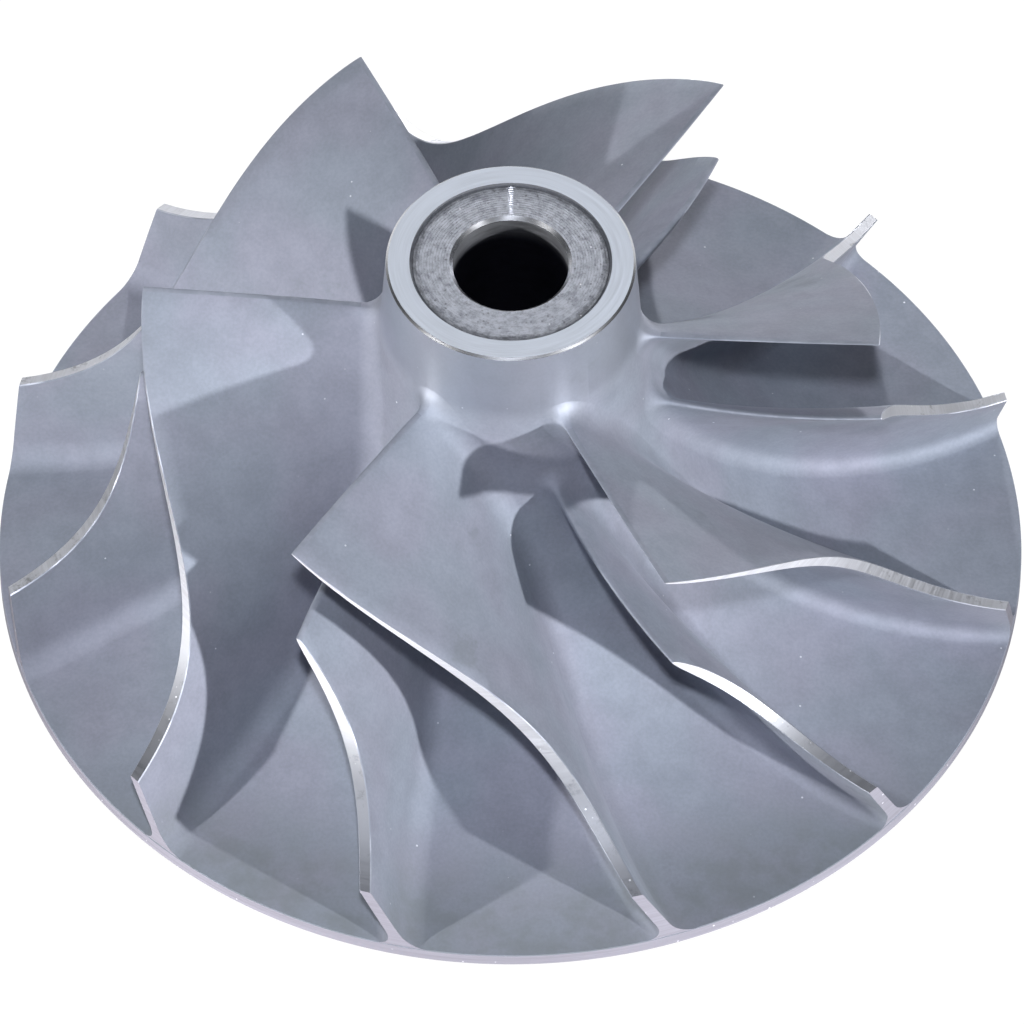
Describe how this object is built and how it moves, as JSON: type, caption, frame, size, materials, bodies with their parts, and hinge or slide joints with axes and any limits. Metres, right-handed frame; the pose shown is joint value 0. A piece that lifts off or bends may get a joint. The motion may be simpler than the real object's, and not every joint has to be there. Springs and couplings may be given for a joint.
{
  "type": "compressor wheel",
  "caption": "Open radial compressor wheel: one aluminium casting with swept blades, short splitters between them, a flat back disc and a bored hub.",
  "frame": {"origin": "on the wheel's axis, in the plane of the back boss face that it rests on", "axes": "+Z along the bore axis, from the back disc towards the nose; X and Y across the disc"},
  "size_m": [0.115, 0.115, 0.0547],
  "materials": {
    "cast_aluminium": "blasted casting, with turned blade tips, nose and rim"
  },
  "bodies": {
    "root": {"compressor_wheel": "cast_aluminium"}
  },
  "joints": []
}
